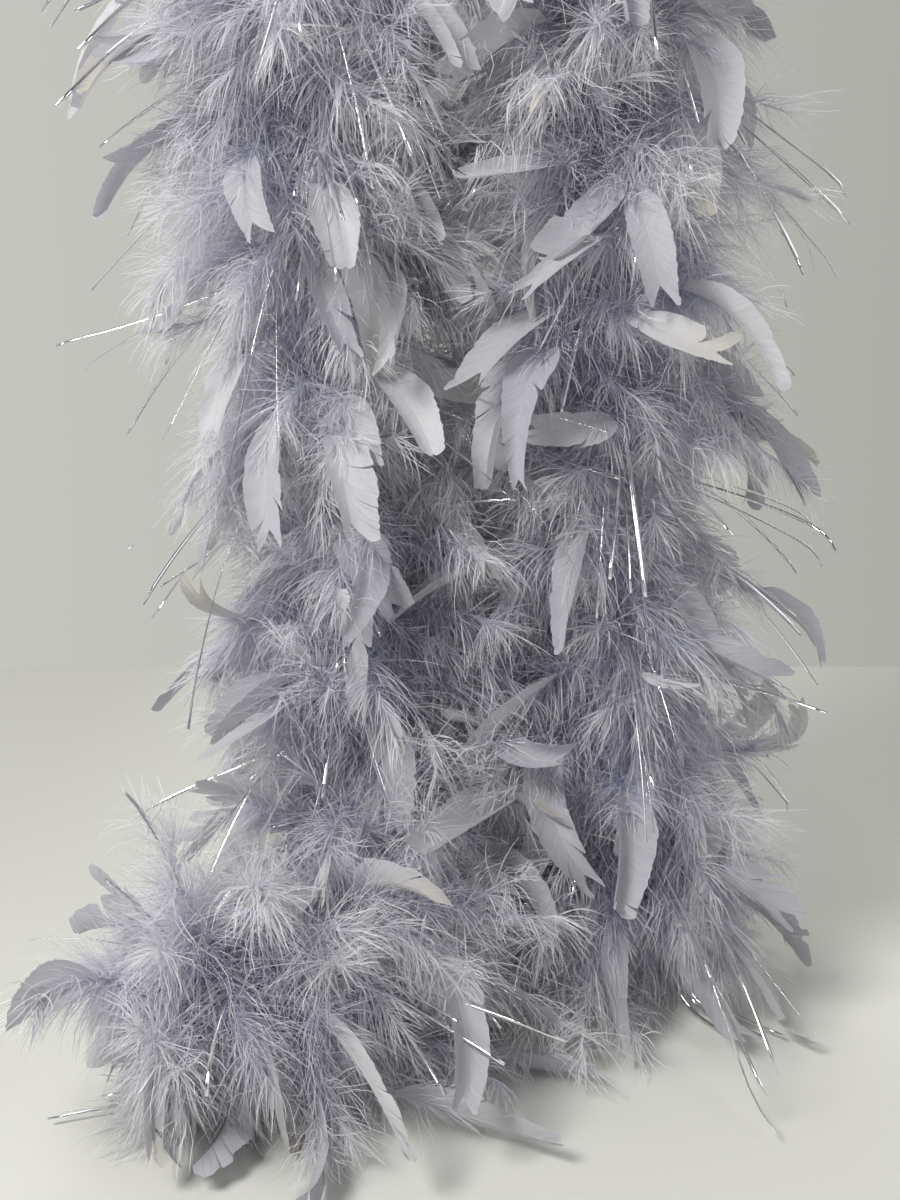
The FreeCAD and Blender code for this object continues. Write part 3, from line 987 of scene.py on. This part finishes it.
def add_surface(tree, colour, settings, see_through=0.0, relief=None):
    """The principled shader and the output. Some of the light may come through from behind."""
    shader = node(tree, "ShaderNodeBsdfPrincipled", **settings)
    tree.links.new(colour, shader.inputs["Base Color"])
    if relief:
        height, strength, depth = relief
        bump = node(tree, "ShaderNodeBump", Strength=strength, Distance=depth)
        tree.links.new(height, bump.inputs["Height"])
        tree.links.new(bump.outputs[0], shader.inputs["Normal"])
    output = node(tree, "ShaderNodeOutputMaterial")
    if not see_through:
        tree.links.new(shader.outputs[0], output.inputs["Surface"])
        return
    behind = node(tree, "ShaderNodeBsdfTranslucent")
    mix = node(tree, "ShaderNodeMixShader", Fac=see_through)
    tree.links.new(colour, behind.inputs["Color"])
    tree.links.new(shader.outputs[0], mix.inputs[1])
    tree.links.new(behind.outputs[0], mix.inputs[2])
    tree.links.new(mix.outputs[0], output.inputs["Surface"])


def down_material():
    material, tree = new_material("down")
    tone = attribute(tree, "tone")
    out = attribute(tree, "out")
    patches = object_noise(tree, 14.0)
    # Painted shade and light: barbs darken towards their quill, as deeper dye and painted shade inside the
    # boa, and pale towards their outer ends
    value = weighted(tree, (tone, 0.3), (out, 0.65), (patches, 0.3))
    colour = ramp(tree, value, [(0.3, DOWN_DYE_AND_SHADE), (0.62, DOWN_MIDDLE), (1.0, DOWN_PALE)])
    add_surface(tree, colour, DOWN_SURFACE, see_through=0.45)
    return material


def vane_material():
    material, tree = new_material("vane")
    tone = attribute(tree, "tone")
    barb = attribute(tree, "barb")
    edge = attribute(tree, "edge")
    where = node(tree, "ShaderNodeCombineXYZ")
    tree.links.new(barb, where.inputs["X"])
    tree.links.new(math_node(tree, "MULTIPLY", edge, STREAK_LENGTH), where.inputs["Y"])
    tree.links.new(math_node(tree, "MULTIPLY", tone, STREAK_VARIETY), where.inputs["Z"])
    lines = node(tree, "ShaderNodeTexNoise", Scale=1.3, Detail=5.0, Roughness=0.75)
    tree.links.new(where.outputs[0], lines.inputs["Vector"])
    streaks = lines.outputs["Fac"]
    value = weighted(tree, (tone, 0.5), (streaks, 1.0))
    body = ramp(tree, value, [(0.35, VANE_COOL), (1.0, VANE_PALE)])
    colour = mix_colour(tree, attribute(tree, "cream"), body, (*VANE_CREAM, 1.0))
    add_surface(tree, colour, VANE_SURFACE, see_through=0.3, relief=(streaks, 0.7, 0.8 * MM))
    return material


def tinsel_material():
    material, tree = new_material("tinsel")
    crinkle = object_noise(tree, 260.0, 2.0)
    colour = ramp(tree, crinkle, [(0.3, FILM_DARK), (0.7, FILM_LIGHT)])
    add_surface(tree, colour, FILM_SURFACE, relief=(crinkle, 0.12, 0.4 * MM))
    return material


def cotton_material(name, colours, fibre):
    material, tree = new_material(name)
    fibres = object_noise(tree, fibre, 4.0)
    value = weighted(tree, (fibres, 0.8), (attribute(tree, "tone"), 0.2))
    colour = ramp(tree, value, [(0.3, colours[0]), (0.75, colours[1])])
    add_surface(tree, colour, COTTON_SURFACE, relief=(fibres, 0.5, 0.4 * MM))
    return material


# Setting


def make_camera():
    data = bpy.data.cameras.new("camera")
    data.lens = CAMERA_LENS
    data.sensor_width = CAMERA_SENSOR
    camera = bpy.data.objects.new("camera", data)
    camera.location = CAMERA_PLACE
    camera.rotation_euler = (math.radians(90.0 - CAMERA_PITCH), 0.0, 0.0)
    bpy.context.scene.collection.objects.link(camera)
    bpy.context.scene.camera = camera


def make_floor():
    material, tree = new_material("table")
    axes = node(tree, "ShaderNodeSeparateXYZ")
    tree.links.new(node(tree, "ShaderNodeTexCoord").outputs["Object"], axes.inputs[0])
    # Painted shade and light: the table lightens from left to right, against the key lamp on the left and
    # the boa's shadow on the right
    across = ranged(tree, axes.outputs["X"], -PAINTED_LIGHT_HALF, PAINTED_LIGHT_HALF)
    value = weighted(tree, (across, 1.0), (object_noise(tree, 3.0), 0.06))
    colour = ramp(tree, value, [(0.0, FLOOR_LEFT_PAINTED_SHADE), (1.0, FLOOR_RIGHT_PAINTED_LIGHT)])
    add_surface(tree, colour, FLOOR_SURFACE)
    skin = Skin()
    around = ((-1, -1), (1, -1), (1, 1), (-1, 1))
    corners = np.array([[x * FLOOR_HALF, y * FLOOR_HALF, SURFACE] for x, y in around])
    skin.add(corners, np.array([[0, 1, 2, 3]]))
    skin.piece("table_top", material)


def make_world():
    """A pale studio, brighter on the left, with a dark ceiling in front for the tinsel to mirror."""
    world = bpy.data.worlds.new("studio")
    world.use_nodes = True
    bpy.context.scene.world = world
    tree = world.node_tree
    tree.nodes.clear()
    where = node(tree, "ShaderNodeTexCoord").outputs["Generated"]
    axes = node(tree, "ShaderNodeSeparateXYZ")
    tree.links.new(where, axes.inputs[0])
    across = ranged(tree, axes.outputs["X"], -WALL_BLEND, WALL_BLEND)
    wall = ramp(tree, across, [(0.0, WALL_LEFT), (1.0, WALL_RIGHT)])
    noise = node(tree, "ShaderNodeTexNoise", Scale=3.5, Detail=1.0)
    tree.links.new(where, noise.inputs["Vector"])
    height = weighted(tree, (axes.outputs["Z"], 1.0), (noise.outputs["Fac"], 0.5))
    room = ramp(tree, height, [(0.62, ROOM_PALE), (0.72, ROOM_DARK)])
    in_front = ranged(tree, axes.outputs["Y"], FRONT_BLEND, -FRONT_BLEND)
    colour = mix_colour(tree, in_front, wall, room)
    background = node(tree, "ShaderNodeBackground")
    output = node(tree, "ShaderNodeOutputWorld")
    tree.links.new(colour, background.inputs["Color"])
    tree.links.new(background.outputs[0], output.inputs["Surface"])


def area_light(name, place, size, power, colour):
    """A round lamp that shines on the boa's middle."""
    data = bpy.data.lights.new(name, "AREA")
    data.shape = "DISK"
    data.size = size
    data.energy = power
    data.color = colour
    light = bpy.data.objects.new(name, data)
    light.location = place
    light.rotation_euler = (Vector(BOA_MIDDLE) - Vector(place)).to_track_quat("-Z", "Y").to_euler()
    bpy.context.scene.collection.objects.link(light)


def make_lights():
    area_light("key", (-0.75, -0.8, 0.35), size=0.6, power=23.5, colour=(1.0, 0.99, 0.96))
    area_light("fill", (1.1, -0.9, 0.3), size=1.0, power=5.0, colour=(0.96, 0.98, 1.0))
    area_light("back", (-0.4, 1.2, 0.5), size=0.9, power=8.0, colour=(1.0, 1.0, 1.0))


def held_by(stretch, plates):
    return plates.chosen(np.array([stretch.holds(place) for place in plates.place]))


def add_piece(stretch, name, skin, material, kind):
    """A visible piece that rides on the stretch's body, or stays in place across its joint, and stands for
    its CAD nodes of that kind.
    """
    made = skin.piece(name, material)
    stretch.attach(made, kind)
    return made


def add_flats(stretch, flats, vane, down):
    """The flat feathers: their quills and vanes are one piece and their loose down is another."""
    quills = Quills(flats.repeated(1), stretch.dice, FLAT_LEAN, FLAT_LENGTH, FLAT_DROOP)
    skin = Skin()
    starts = vanes(skin, quills, stretch.dice)
    name = "flat_feathers_" + stretch.name + "_stretch"
    add_piece(stretch, name, skin, vane, "flat_feathers")
    skin = Skin()
    barbs(skin, quills, FLUFF_PER_FEATHER, starts + FLUFF_OVER_VANE, stretch.dice)
    name = "quill_fluff_" + stretch.name
    add_piece(stretch, name, skin, down, "flat_feathers")


def add_plumes(stretch, plumes, down):
    repeated = plumes.repeated(PLUMES_PER_PLATE)
    quills = Quills(repeated, stretch.dice, PLUME_LEAN, PLUME_LENGTH, PLUME_DROOP)
    skin = Skin()
    barbs(skin, quills, BARBS_PER_PLUME, np.ones(len(quills.length)), stretch.dice)
    name = "down_plumes_" + stretch.name
    add_piece(stretch, name, skin, down, "down_feathers")


def add_tinsel(stretch, plates, film):
    skin = Skin()
    tinsel_strips(skin, plates, stretch.dice)
    add_piece(stretch, "tinsel_strips_" + stretch.name, skin, film, "tinsel")


def add_thread(stretch, line, thread):
    skin = Skin()
    thread_wraps(skin, stretch, line)
    name = "thread_wraps_" + stretch.name
    add_piece(stretch, name, skin, thread, "binding_thread")


def add_cord(stretch, line, cotton):
    """The core cord, and its end knot where the stretch has the cord's end."""
    skin = Skin()
    followed = core(skin, stretch, line)
    made = add_piece(stretch, "cord_" + stretch.name, skin, cotton, "core_cord")
    if stretch.start is None:
        side = stretch.name.split("_")[0]
        knot = end_knot(line, stretch.far, stretch.dice).piece("cord_knot_" + side, cotton)
        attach(knot, stretch.bodies[0])
        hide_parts("end_knot_" + side)


def make_boa(line):
    down = down_material()
    vane = vane_material()
    film = tinsel_material()
    cotton = cotton_material("cotton", COTTON, 900.0)
    thread = cotton_material("thread", THREAD, 2500.0)
    flats = Plates("flat_feathers", line)
    plumes = Plates("down_feathers", line)
    tinsel = Plates("tinsel", line)
    for stretch in stretches(line):
        add_flats(stretch, held_by(stretch, flats), vane, down)
        add_plumes(stretch, held_by(stretch, plumes), down)
        add_tinsel(stretch, held_by(stretch, tinsel), film)
        add_thread(stretch, line, thread)
        add_cord(stretch, line, cotton)


make_camera()
core_line = cord_line()
make_world()
make_lights()
make_floor()
make_boa(core_line)
bpy.context.scene.view_settings.view_transform = "Standard"
